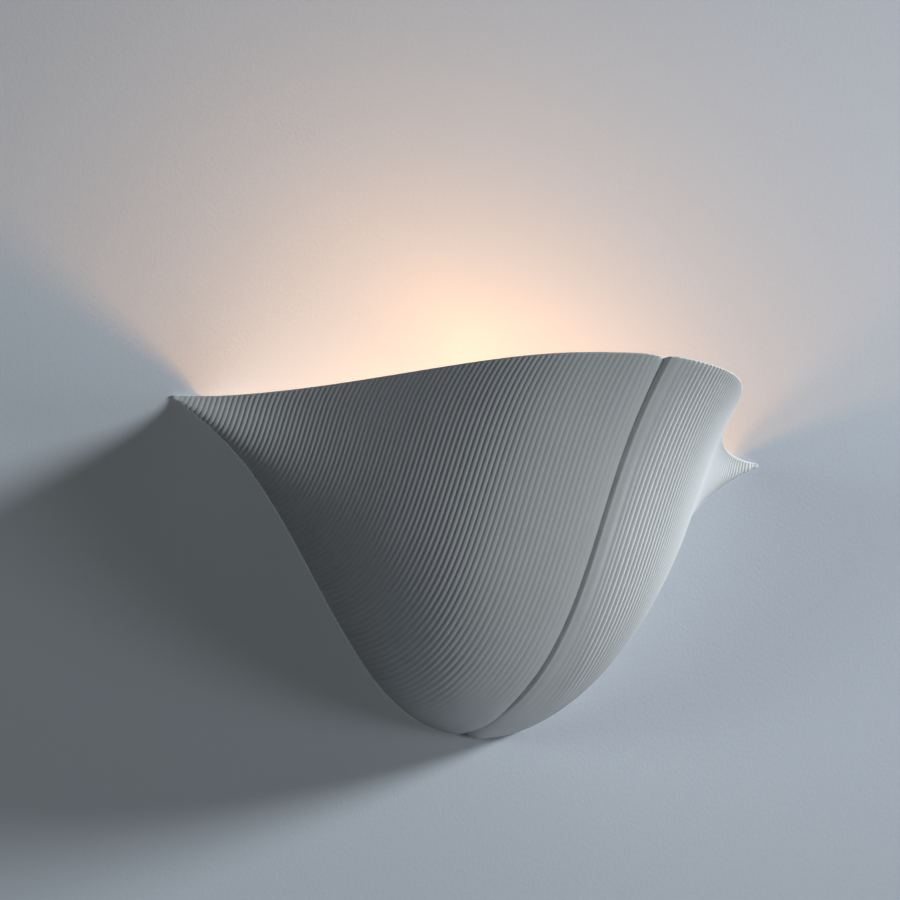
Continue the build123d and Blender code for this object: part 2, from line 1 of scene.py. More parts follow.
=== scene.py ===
import bpy
import bmesh
import json
import math
import numpy as np
from mathutils import Vector, Matrix

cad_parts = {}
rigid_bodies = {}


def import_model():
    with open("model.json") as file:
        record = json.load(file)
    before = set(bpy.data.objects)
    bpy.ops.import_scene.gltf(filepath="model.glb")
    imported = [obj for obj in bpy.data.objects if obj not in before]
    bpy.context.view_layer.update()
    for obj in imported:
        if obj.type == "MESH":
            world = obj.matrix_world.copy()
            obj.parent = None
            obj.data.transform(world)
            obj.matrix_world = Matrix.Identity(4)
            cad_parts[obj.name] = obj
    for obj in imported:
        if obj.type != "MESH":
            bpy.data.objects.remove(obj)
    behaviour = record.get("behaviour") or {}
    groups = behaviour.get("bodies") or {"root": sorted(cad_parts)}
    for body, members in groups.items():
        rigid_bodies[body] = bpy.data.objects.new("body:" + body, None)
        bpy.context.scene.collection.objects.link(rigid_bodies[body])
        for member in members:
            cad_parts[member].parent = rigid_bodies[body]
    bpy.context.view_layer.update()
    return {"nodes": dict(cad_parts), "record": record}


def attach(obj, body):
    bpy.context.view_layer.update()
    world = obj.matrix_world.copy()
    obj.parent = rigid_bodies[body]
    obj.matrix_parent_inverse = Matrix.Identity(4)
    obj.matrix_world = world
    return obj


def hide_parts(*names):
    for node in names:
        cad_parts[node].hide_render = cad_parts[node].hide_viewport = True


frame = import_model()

NODES = frame["nodes"]

HW = 0.2                 # half width of the shell, metres
TOP = 0.080              # height of the flat rim
MM = 0.001

# ---------------------------------------------------------------------------
# small numeric helpers
# ---------------------------------------------------------------------------


def spline(x, y, d0=None):
    """Cubic spline through the points; natural ends, or a given start slope."""
    x = np.asarray(x, float)
    y = np.asarray(y, float)
    n, h = len(x), np.diff(x)
    A = np.zeros((n, n))
    r = np.zeros(y.shape)
    for i in range(1, n - 1):
        A[i, i - 1], A[i, i], A[i, i + 1] = h[i - 1], 2 * (h[i - 1] + h[i]), h[i]
        r[i] = 6 * ((y[i + 1] - y[i]) / h[i] - (y[i] - y[i - 1]) / h[i - 1])
    A[-1, -1] = 1
    if d0 is None:
        A[0, 0] = 1
    else:
        A[0, 0], A[0, 1] = 2 * h[0], h[0]
        r[0] = 6 * ((y[1] - y[0]) / h[0] - d0)
    m = np.linalg.solve(A, r)

    def f(q, nu=0):
        q = np.asarray(q, float)
        i = np.clip(np.searchsorted(x, q) - 1, 0, n - 2)
        a, b, hh = x[i + 1] - q, q - x[i], h[i]
        if y.ndim > 1:
            a, b, hh = a[..., None], b[..., None], hh[..., None]
        p0, p1 = y[i] / hh - m[i] * hh / 6, y[i + 1] / hh - m[i + 1] * hh / 6
        if nu:
            return (-m[i] * a * a + m[i + 1] * b * b) / (2 * hh) - p0 + p1
        return (m[i] * a ** 3 + m[i + 1] * b ** 3) / (6 * hh) + p0 * a + p1 * b
    return f


def ease(a, b, x):
    """0 at a, 1 at b, smooth between."""
    s = np.clip((np.asarray(x, float) - a) / (b - a), 0, 1)
    return s * s * (3 - 2 * s)


def unit(v):
    return v / np.maximum(np.linalg.norm(v, axis=-1, keepdims=True), 1e-12)


# ---------------------------------------------------------------------------
# 1. the shell: a fluted fan folded at its centre, one closed mesh
# ---------------------------------------------------------------------------
# x, projection, drop (fractions of the half width) of the smooth form, without
# the centre groove
FORM = [(0.000, 1.1920, 0.9300), (0.030, 1.1910, 0.9294), (0.057, 1.1885, 0.9272),
        (0.085, 1.1838, 0.9225), (0.130, 1.1685, 0.9125), (0.190, 1.1410, 0.8890),
        (0.250, 1.1060, 0.8500), (0.310, 1.0560, 0.7970), (0.370, 0.9840, 0.7260),
        (0.430, 0.8850, 0.6440), (0.490, 0.7640, 0.5540), (0.550, 0.6283, 0.4592),
        (0.610, 0.4920, 0.3670), (0.670, 0.3670, 0.2825), (0.730, 0.2590, 0.2080),
        (0.790, 0.1710, 0.1475), (0.850, 0.1010, 0.0980), (0.910, 0.0525, 0.0560),
        (0.955, 0.0250, 0.0290), (0.985, 0.0085, 0.0110), (1.000, 0.0000, 0.0000)]
# the hollow side follows a softer centre crease
HOLLOW = [(0.000, 1.1600, 0.9150), (0.020, 1.1660, 0.9175), (0.045, 1.1790, 0.9225),
          (0.075, 1.1830, 0.9235)] + [r for r in FORM if r[0] > 0.11]
PROFILE = np.array([(1.0, 0.0), (0.8111, 0.1663), (0.6789, 0.3776), (0.6067, 0.6045),
                    (0.5133, 0.8694), (0.2435, 1.0), (0.0, 1.0)])
COMB6 = np.array([math.comb(6, k) for k in range(7)], float)
COMB5 = np.array([math.comb(5, k) for k in range(6)], float)

# where the flute valleys run: the valley's number, counted from the fold, and
# its distance from the centre line at twelve heights of the profile
RIB_T = (0, 0.05, 0.1, 0.2, 0.3, 0.45, 0.6, 0.7, 0.8, 0.87, 0.94, 1.0)
RIBS = (
    (2.5, (0.1019, 0.1033, 0.1032, 0.1009, 0.0984, 0.0965, 0.0973, 0.0996, 0.1051, 0.1117, 0.1218, 0.1352)),
    (4.5, (0.1346, 0.1357, 0.1355, 0.1333, 0.1308, 0.1292, 0.1302, 0.1326, 0.1381, 0.1446, 0.1544, 0.1666)),
    (6.5, (0.1662, 0.1672, 0.1669, 0.1648, 0.1626, 0.1613, 0.1624, 0.1648, 0.1701, 0.1764, 0.1857, 0.1972)),
    (8.5, (0.1970, 0.1980, 0.1978, 0.1959, 0.1938, 0.1928, 0.1938, 0.1961, 0.2015, 0.2078, 0.2169, 0.2276)),
    (11.5, (0.2427, 0.2439, 0.2440, 0.2426, 0.2408, 0.2399, 0.2406, 0.2425, 0.2473, 0.2529, 0.2606, 0.2692)),
    (14.5, (0.2833, 0.2848, 0.2852, 0.2842, 0.2827, 0.2819, 0.2822, 0.2835, 0.2873, 0.2920, 0.2987, 0.3062)),
    (17.5, (0.3212, 0.3230, 0.3236, 0.3228, 0.3214, 0.3205, 0.3204, 0.3212, 0.3243, 0.3283, 0.3341, 0.3405)),
    (20.5, (0.3561, 0.3580, 0.3587, 0.3580, 0.3566, 0.3556, 0.3554, 0.3558, 0.3582, 0.3615, 0.3665, 0.3724)),
    (24.5, (0.3995, 0.4012, 0.4018, 0.4010, 0.3996, 0.3988, 0.3985, 0.3986, 0.4002, 0.4029, 0.4070, 0.4120)),
    (28.5, (0.4387, 0.4401, 0.4404, 0.4396, 0.4383, 0.4376, 0.4376, 0.4376, 0.4387, 0.4407, 0.4442, 0.4484)),
    (32.5, (0.4751, 0.4763, 0.4766, 0.4757, 0.4745, 0.4741, 0.4743, 0.4741, 0.4749, 0.4765, 0.4793, 0.4827)),
    (36.5, (0.5091, 0.5104, 0.5108, 0.5100, 0.5090, 0.5088, 0.5091, 0.5089, 0.5092, 0.5103, 0.5124, 0.5147)),
    (40.5, (0.5406, 0.5421, 0.5425, 0.5419, 0.5411, 0.5409, 0.5411, 0.5408, 0.5409, 0.5415, 0.5429, 0.5445)),
    (45.5, (0.5811, 0.5826, 0.5830, 0.5825, 0.5817, 0.5814, 0.5816, 0.5812, 0.5808, 0.5810, 0.5817, 0.5828)),
    (50.5, (0.6228, 0.6238, 0.6240, 0.6234, 0.6226, 0.6223, 0.6224, 0.6219, 0.6212, 0.6209, 0.6211, 0.6220)),
    (55.5, (0.6659, 0.6665, 0.6665, 0.6658, 0.6650, 0.6647, 0.6647, 0.6642, 0.6632, 0.6626, 0.6623, 0.6630)),
    (60.5, (0.7101, 0.7107, 0.7108, 0.7102, 0.7097, 0.7096, 0.7096, 0.7091, 0.7079, 0.7070, 0.7063, 0.7063)),
    (65.5, (0.7578, 0.7585, 0.7587, 0.7585, 0.7582, 0.7584, 0.7588, 0.7584, 0.7574, 0.7564, 0.7555, 0.7548)),
    (70.5, (0.8117, 0.8124, 0.8126, 0.8125, 0.8126, 0.8132, 0.8140, 0.8141, 0.8137, 0.8132, 0.8125, 0.8116)),
    (75.5, (0.8713, 0.8717, 0.8718, 0.8718, 0.8721, 0.8732, 0.8745, 0.8751, 0.8755, 0.8757, 0.8756, 0.8749)),
    (79.5, (0.9233, 0.9237, 0.9240, 0.9244, 0.9249, 0.9261, 0.9275, 0.9285, 0.9294, 0.9299, 0.9301, 0.9294)),
    (82.5, (0.9643, 0.9650, 0.9655, 0.9664, 0.9671, 0.9681, 0.9693, 0.9704, 0.9716, 0.9722, 0.9724, 0.9720)),
    (84.9, (1.0, 1.0, 1.0, 1.0, 1.0, 1.0, 1.0, 1.0, 1.0, 1.0, 1.0, 1.0)),
)
# the flutes of the right lobe lie a little further out near the fold
RIGHT_SHIFT = {2.5: -0.0079, 4.5: -0.0033, 6.5: 0.0014, 8.5: 0.0035, 11.5: 0.0032,
               14.5: 0.0026, 17.5: 0.0014}
# the fold line: sideways offset and depth of the groove along the profile
FOLD_T = (0, 0.05, 0.1, 0.2, 0.4, 0.6, 0.7, 0.8, 0.87, 0.9, 0.95, 1.0)
FOLD_X = (0.0090, 0.0090, 0.0090, 0.0080, 0.0080, 0.0080, 0.0060, 0.0000, -0.0055, -0.0065, -0.0075, -0.0090)
FOLD_G = (0.0240, 0.0225, 0.0205, 0.0185, 0.0170, 0.0155, 0.0145, 0.0120, 0.0072, 0.0055, 0.0080, 0.0165)
FOLD_W = (0.0240, 0.0205, 0.0185, 0.0175, 0.0175, 0.0175, 0.0175, 0.0170, 0.0160, 0.0160, 0.0165, 0.0170)
STEEP = 0.18             # the groove's right wall is this much narrower than its left one
# cross section of the plain border beside the fold, in millimetres
HEM_W = 0.050
HEM_X = (0, 0.0025, 0.0055, 0.009, 0.0125, 0.0155, 0.020, 0.026, 0.033, 0.040, 0.046, 0.050)
HEM = {1: spline(HEM_X, (0, 0.14, 0.32, 0.16, -0.12, -0.20, -0.05, 0.18, 0.25, 0.12, -0.12, -0.34)),
       -1: spline(HEM_X, (0, 0.02, 0.04, 0.04, 0.02, 0.00, 0.00, 0.06, 0.12, 0.08, -0.08, -0.24))}
HEM_COLS = (0.0022, 0.0042, 0.0062, 0.0085, 0.011, 0.014, 0.0175, 0.0215, 0.027, 0.033, 0.039, 0.045)
SUB = (0.0, 0.12, 0.3, 0.5, 0.7, 0.88)
RIB_DEPTH = 0.180        # depth of a flute over its pitch
LAST_RIB = 83.5
TIP = 0.9995


def uv(t):
    t = np.asarray(t, float)[..., None]
    k = np.arange(7)
    return (COMB6 * t ** k * (1 - t) ** (6 - k)) @ PROFILE


def duv(t):
    t = np.asarray(t, float)[..., None]
    k = np.arange(6)
    return (COMB5 * t ** k * (1 - t) ** (5 - k)) @ (6 * np.diff(PROFILE, axis=0))


def form(rows, blunt=True):
    """Point and outward normal of the smooth form at signed x and t."""
    xs = [r[0] for r in rows]
    fd = spline(xs, [r[1] for r in rows], 0.0)
    fh = spline(xs, [r[2] for r in rows], 0.0)

    def f(x, t):
        s, a = np.where(x < 0, -1.0, 1.0), np.abs(x)
        b = np.minimum(a, 0.980) if blunt else a
        k = np.sqrt(np.clip(1 - np.clip((a - 0.980) / (TIP - 0.980), 0, 1) ** 2, 1e-4, 1)) if blunt else 1.0
        D, H = fd(b) * k, fh(b) * k
        dD, dH = fd(b, 1), fh(b, 1)
        q, dq = uv(t), duv(t)
        u, v, du, dv = q[..., 0], q[..., 1], dq[..., 0], dq[..., 1]
        P = np.stack([s * a, -D * u, -H * v], -1)
        Px = np.stack([s, -dD * u, -dH * v], -1)
        Pt = np.stack([0 * D * du, -D * du, -H * dv], -1)
        n = unit(np.cross(Px, Pt) * s[..., None])
        n = n * np.where(n[..., 1:2] - n[..., 2:3] * 0 > 0, 1, 1)
        flip = (n[..., 1] * -1 + n[..., 2] * -1) < 0
        n = np.where(flip[..., None], -n, n)
        spread = np.linalg.norm(np.cross(Px, Pt), axis=-1) / np.maximum(np.linalg.norm(Pt, axis=-1), 1e-9)
        return P, n, spread
    return f


outer_form = form(FORM)
hollow_form = form(HOLLOW, blunt=False)


def rib_table(side):
    """Valley numbers and their |x| on a fine grid of t, for one lobe."""
    tt = np.linspace(0, 1, 201)
    fold = spline(FOLD_T, FOLD_X)(tt)
    ns, rows = [], []
    base = {n: spline(RIB_T, r)(tt) for n, r in RIBS}
    if side < 0:
        hem = HEM_W - fold + 0.008 * (1 - ease(0, 0.12, tt))
        x25 = base[2.5]
        ns += [-1.5, -0.5, 0.5, 1.5]
        rows += [hem - 0.0155, hem, hem + 0.337 * (x25 - hem), hem + 0.690 * (x25 - hem)]
    else:
        hem = HEM_W + fold
        x25 = base[2.5] + RIGHT_SHIFT[2.5]
        ns += [0.5, 1.5]
        rows += [hem, hem + 0.483 * (x25 - hem)]
    for n, _ in RIBS:
        ns.append(n)
        rows.append(base[n] + (RIGHT_SHIFT.get(n, 0.0) if side > 0 else 0.0))
    return np.array(ns), np.array(rows), tt


def columns():
    """Signed x of every mesh column on the fine grid of t, and its flute data."""
    tt = np.linspace(0, 1, 201)
    fold = spline(FOLD_T, FOLD_X)(tt)
    cols = []
    halves = {}
    for side in (-1, 1):
        ns, rows, _ = rib_table(side)
        f = spline(ns, rows)
        lobe = []
        k = ns[0]
        while k < LAST_RIB - 0.01:
            for s in SUB:
                n = np.array(k + s)
                lobe.append(dict(x=side * f(n), pitch=f(n, 1), phi=s, kind="rib",
                                 coarse=(s == 0.0)))
            k += 1.0
        end = f(np.array(LAST_RIB))
        for i, q in enumerate((0.0, 0.2, 0.4, 0.55, 0.7, 0.8, 0.88, 0.94, 0.98, 1.0)):
            lobe.append(dict(x=side * (end + (TIP - end) * q), pitch=0 * end, phi=0.5,
                             kind="tip", coarse=(i % 2 == 0 or q == 1.0)))
        hem_end = rows[0]
        hem = []
        for i, xi in enumerate(HEM_COLS):
            # the border's columns stretch to meet the first flute's valley
            room = hem_end - side * fold
            hem.append(dict(x=fold + side * xi * room / HEM_W, pitch=0 * end, phi=0.5,
                            kind="hem", coarse=(i % 4 == 3), xi=side * xi))
        halves[side] = (lobe, hem)
    lobe, hem = halves[-1]
    cols = lobe[::-1] + hem[::-1]
    cols.append(dict(x=fold, pitch=0 * fold, phi=0.5, kind="hem", coarse=True, xi=0.0))
    lobe, hem = halves[1]
    cols += hem + lobe
    return cols, tt


def relief(kind, phi, x, t, pitch, xi):
    """Height above the smooth form, in half widths."""
    fold = spline(FOLD_T, FOLD_X)(t)
    g = spline(FOLD_T, FOLD_G)(t)
    w = spline(FOLD_T, FOLD_W)(t)
    d = np.abs(x - fold)
    wall = np.where(x > fold, w * (STEEP + (0.8 - STEEP) * ease(0.80, 0.95, t)), w)
    out = -g * np.exp(-d / wall) * (1 - ease(0.045, 0.10, d))
    low = 1 - ease(0.80, 0.90, t)
    ax = np.abs(x)
    rib = 0.0 * x
    if kind == "rib":
        amp = 1 - ease(0.72, 0.88, t) * (1 - ease(0.13, 0.235, ax))
        amp = amp * (1 - 0.45 * ease(0.84, 0.97, t) * (1 - ease(0.24, 0.36, ax)))
        amp = amp * (1 - ease(0.955, 0.985, ax))
        # the flutes are shallower beside the fold
        amp = amp * np.where(x < fold, 1 - 0.45 * (1 - ease(0.18, 0.40, ax)),
                             1 - 0.45 * (1 - ease(0.065, 0.125, ax)))
        rib = RIB_DEPTH * pitch * amp * (0.4 - (2 * phi - 1) ** 2)
    elif kind == "hem":
        out = out + HEM[1 if xi > 0 else -1](abs(xi)) * MM / HW * low
    # the right lobe ends a little lower beside the fold
    side = x - fold
    out = out + 0.0050 * ease(0.93, 1.0, t) * ease(0.000, 0.028, side) * np.exp(-(np.clip(side, 0, 1) / 0.060) ** 2)
    return out, rib


def shell_mesh():
    cols, tt = columns()
    nC = len(cols)
    # rows spread evenly along the profile
    fine = np.linspace(0, 1, 2001)
    p, _, _ = outer_form(np.full(2001, 0.3), fine)
    arc = np.r_[0, np.cumsum(np.linalg.norm(np.diff(p, axis=0), axis=1))]
    NR = 72
    tau = np.interp(np.linspace(0, 1, NR), arc / arc[-1], fine)
    X = np.zeros((nC, NR))
    T = np.zeros((nC, NR))
    outer = np.zeros((nC, NR, 3))
    apex = np.zeros((nC, 3))
    lip = np.zeros((nC, 3))
    for c, col in enumerate(cols):
        x0 = float(col["x"][0])
        p, _, _ = outer_form(np.full(401, x0), np.linspace(0, 1, 401))
        a = np.r_[0, np.cumsum(np.linalg.norm(np.diff(p, axis=0), axis=1))] * HW
        L = min(2.2 * MM, 0.20 * a[-1])
        t0 = float(np.interp(L, a, np.linspace(0, 1, 401)))
        t = np.r_[0.0, t0 + (1 - t0) * tau]
        x = np.interp(t, tt, col["x"])
        pit = np.interp(t, tt, col["pitch"])
        P, n, spread = outer_form(x, t)
        h, rib = relief(col["kind"], col["phi"], x, t, pit * spread, col.get("xi", 0.0))
        even = float(h[0])
        rib = rib * (0.2 + 0.8 * ease(0.0, 1.25 * t0, t))     # the rim's lip is plain
        nh = n.copy()
        nh[:, 2] = 0
        nh = unit(nh)
        nb = n.copy()
        nb[:, 1] = 0                      # at the wall the relief stays in its plane
        nb = unit(nb)
        k = (1 - ease(0.0, 0.06, t))[:, None]
        m = ease(0.96, 1.0, t)[:, None]
        d = unit(nh * k + n * (1 - k))
        d = unit(nb * m + d * (1 - m))
        d = d / np.maximum((d * n).sum(-1, keepdims=True), 0.35)
        Q = P + d * (h + rib)[:, None]
        Q[0, 2] = 0.0
        Q[-1, 1] = 0.0
        apex[c] = Q[0] * HW
        outer[c] = Q[1:] * HW
        flat = P[0] + d[0] * (even + 0.35 * rib[0]) - nh[0] * (L / HW)
        flat[2] = 0.0
        lip[c] = flat * HW
    # rounded lip: conic from the outside over the edge to the flat top
    W = 0.9
    rows = []
    for s in (0.84, 0.68, 0.5, 0.32, 0.16):
        b0, b1, b2 = (1 - s) ** 2, 2 * W * s * (1 - s), s * s
        rows.append((b0 * outer[:, 0] + b1 * apex + b2 * lip) / (b0 + b1 + b2))
    grid = np.concatenate([lip[:, None], np.stack(rows, 1), outer], 1)      # nC, R, 3
    R = grid.shape[1]
    verts = [grid.reshape(-1, 3)]
    count = nC * R
    faces = []

    def vid(c, r):
        return c * R + r

    for c in range(nC - 1):
        for r in range(R - 1):
            faces.append((vid(c, r), vid(c, r + 1), vid(c + 1, r + 1), vid(c + 1, r)))
    # the hollow
    gx = np.arange(-0.05, 0.952, 0.0025)
    gt = np.r_[0, 0.015, np.linspace(0.03, 1, 60)]
    XX, TT = np.meshgrid(gx, gt, indexing="ij")
    P, n, _ = hollow_form(XX, TT)
    off = P - n * (5.0 * MM / HW)
    coarse = [c for c in range(nC) if cols[c]["coarse"] or c in (0, nC - 1)]
    inner, corner = {}, {}
    extra = []
    for c in coarse:
        col = cols[c]
        x = np.interp(gt, tt, col["x"])
        s = -1.0 if x.mean() < 0 else 1.0
        hollow = np.abs(x).mean() < 0.886
        if hollow:
            pts = []
            for j in range(len(gt)):
                a = abs(x[j]) if abs(x).max() > 0.06 else s * x[j]
                y = np.interp(a, off[:, j, 0], off[:, j, 1])
                z = np.interp(a, off[:, j, 0], off[:, j, 2])
                pts.append((x[j], y, z))
            pts = np.array(pts)
            below = np.nonzero(pts[:, 2] < 0)[0][0]
            if below > 0:
                w = pts[below - 1, 2] / (pts[below - 1, 2] - pts[below, 2])
                start = pts[below - 1] + w * (pts[below] - pts[below - 1])
                pts = np.vstack([start, pts[below:]])
            pts[0, 2] = 0.0
            pts[-1, 1] = 0.0
            acc = np.r_[0, np.cumsum(np.linalg.norm(np.diff(pts, axis=0), axis=1))]
            want = np.r_[0, np.linspace(0.005, acc[-1], 26)]
            pts = np.stack([np.interp(want, acc, pts[:, i]) for i in range(3)], 1)
            _, nn, _ = outer_form(np.array([x[0]]), np.array([0.0]))
            nn = nn[0].copy()
            nn[2] = 0
            nn = unit(nn)
            flat = pts[0] + nn * 0.005
            mid = (flat + 2 * pts[0] + pts[1]) / 4
            chain = np.vstack([flat, mid, pts[1:]]) * HW
            inner[c] = list(range(count, count + len(chain)))
            extra.append(chain)
            count += len(chain)
    hc = sorted(inner)
    for c in coarse:
        if c not in inner or c in (hc[0], hc[-1]):
            x0 = grid[c, 0, 0]
            corner[c] = count
            extra.append(np.array([[x0, 0.0, 0.0]]))
            count += 1
    verts += extra
    for a, b in zip(coarse[:-1], coarse[1:]):
        topline = [vid(c, 0) for c in range(a, b + 1)]
        backline = [vid(c, R - 1) for c in range(a, b + 1)]
        if a in inner and b in inner:
            faces.append(tuple(topline + [inner[b][0], inner[a][0]]))
            faces.append(tuple(backline[::-1] + [inner[a][-1], inner[b][-1]]))
            for r in range(len(inner[a]) - 1):
                faces.append((inner[a][r], inner[b][r], inner[b][r + 1], inner[a][r + 1]))
        elif b in inner:                  # solid left wing meets the hollow
            faces.append(tuple(topline + [inner[b][0], corner[b], corner[a]]))
            faces.append(tuple(backline[::-1] + [corner[a], corner[b], inner[b][-1]]))
            faces.append(tuple(inner[b] + [corner[b]]))
        elif a in inner:
            faces.append(tuple(topline + [corner[b], corner[a], inner[a][0]]))
            faces.append(tuple(backline[::-1] + [inner[a][-1], corner[a], corner[b]]))
            faces.append(tuple(inner[a][::-1] + [corner[a]]))
        else:
            faces.append(tuple(topline + [corner[b], corner[a]]))
            faces.append(tuple(backline[::-1] + [corner[a], corner[b]]))
    faces.append(tuple([vid(0, r) for r in range(R - 1, -1, -1)] + [corner[0]]))
    faces.append(tuple([vid(nC - 1, r) for r in range(R)] + [corner[nC - 1]]))
    co = np.vstack(verts)
    co[:, 2] += TOP
    me = bpy.data.meshes.new("shell_body")
    me.from_pydata(co.tolist(), [], faces)
    me.validate()
    bm = bmesh.new()
    bm.from_mesh(me)
    bmesh.ops.recalc_face_normals(bm, faces=bm.faces)
    bm.to_mesh(me)
    bm.free()
    return me


def block_mesh(name, verts, faces):
    me = bpy.data.meshes.new(name)
    me.from_pydata([tuple(v) for v in verts], [], faces)
    bm = bmesh.new()
    bm.from_mesh(me)
    bmesh.ops.recalc_face_normals(bm, faces=bm.faces)
    bm.to_mesh(me)
    bm.free()
    return me


def prism_z(outline, z0, z1, name):
    """Closed prism over an outline of (x, y)."""
    n = len(outline)
    v = [(x, y, z0) for x, y in outline] + [(x, y, z1) for x, y in outline]
    f = [tuple(range(n - 1, -1, -1)), tuple(range(n, 2 * n))]
    f += [(i, (i + 1) % n, n + (i + 1) % n, n + i) for i in range(n)]
    return block_mesh(name, v, f)


def prism_y(cx, cz, r, y0, y1, name, n=32):
    ring = [(cx + r * math.cos(2 * math.pi * i / n), cz + r * math.sin(2 * math.pi * i / n)) for i in range(n)]
    v = [(x, y0, z) for x, z in ring] + [(x, y1, z) for x, z in ring]
    f = [tuple(range(n - 1, -1, -1)), tuple(range(n, 2 * n))]
    f += [(i, (i + 1) % n, n + (i + 1) % n, n + i) for i in range(n)]
    return block_mesh(name, v, f)


def outer_solid_mesh():
    """The smooth outer form, 1 mm inside, as one closed solid, to trim the bosses."""
    xs = np.linspace(0.40, 0.80, 41)
    tt = np.linspace(0, 1, 41)
    XX, TT = np.meshgrid(xs, tt, indexing="ij")
    P, n, _ = outer_form(XX, TT)
    P = (P - n * 0.005) * HW
    P[..., 2] += TOP
    v, f = list(map(tuple, P.reshape(-1, 3))), []
    for i in range(40):
        for j in range(40):
            f.append((i * 41 + j, (i + 1) * 41 + j, (i + 1) * 41 + j + 1, i * 41 + j + 1))
    base = len(v)
    for i in range(41):
        v.append((xs[i] * HW, 0.02, TOP + 0.02))
    for i in range(40):
        f.append((i * 41, (i + 1) * 41, base + i + 1, base + i))
        f.append((i * 41 + 40, base + i, base + i + 1, (i + 1) * 41 + 40))
    f.append(tuple(list(range(0, 41)) + [base]))
    f.append(tuple(list(range(40 * 41, 41 * 41))[::-1] + [base + 40]))
    return v, f


def boolean(obj, other_mesh, op):
    tool = bpy.data.objects.new("tool", other_mesh)
    bpy.context.scene.collection.objects.link(tool)
    m = obj.modifiers.new("b", "BOOLEAN")
    m.operation = op
    m.solver = "EXACT"
    m.object = tool
    dg = bpy.context.evaluated_depsgraph_get()
    new = bpy.data.meshes.new_from_object(obj.evaluated_get(dg))
    obj.modifiers.clear()
    old = obj.data
    obj.data = new
    bpy.data.meshes.remove(old)
    bpy.data.objects.remove(tool)


def link(name, me):
    o = bpy.data.objects.new(name, me)
    bpy.context.scene.collection.objects.link(o)
    return o


shell = link("shell_body", shell_mesh())

# two cast bosses behind the wings carry the hanging strap
ov, of = outer_solid_mesh()
for s in (-1, 1):
    x0, x1, yf, yb, r = 0.099, 0.139, -0.035, -0.013, 0.009
    ring = [(x1, yb), (x0, yb)]
    for i in range(9):
        a = math.pi * (1.0 + 0.5 * i / 8)
        ring.append((x0 + r + r * math.cos(a), yf + r + r * math.sin(a)))
    ring.append((x1, yf))
    ring = [(s * x, y) for x, y in ring]
    boss = link("boss", prism_z(ring, 0.024, 0.046, "boss"))
    boolean(boss, block_mesh("trim", [(s * a, b, c) for a, b, c in ov], of), "INTERSECT")
    boolean(shell, boss.data.copy(), "UNION")
    bpy.data.objects.remove(boss)
for s in (-1, 1):
    for x in (0.107, 0.120):
        boolean(shell, prism_y(s * x, 0.035, 0.003, -0.022, -0.012, "hole"), "DIFFERENCE")

shell.data.polygons.foreach_set("use_smooth", [True] * len(shell.data.polygons))
shell.data.set_sharp_from_angle(angle=math.radians(58))
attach(shell, "shell")
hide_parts("shell")

# ---------------------------------------------------------------------------
# 2. materials
# ---------------------------------------------------------------------------


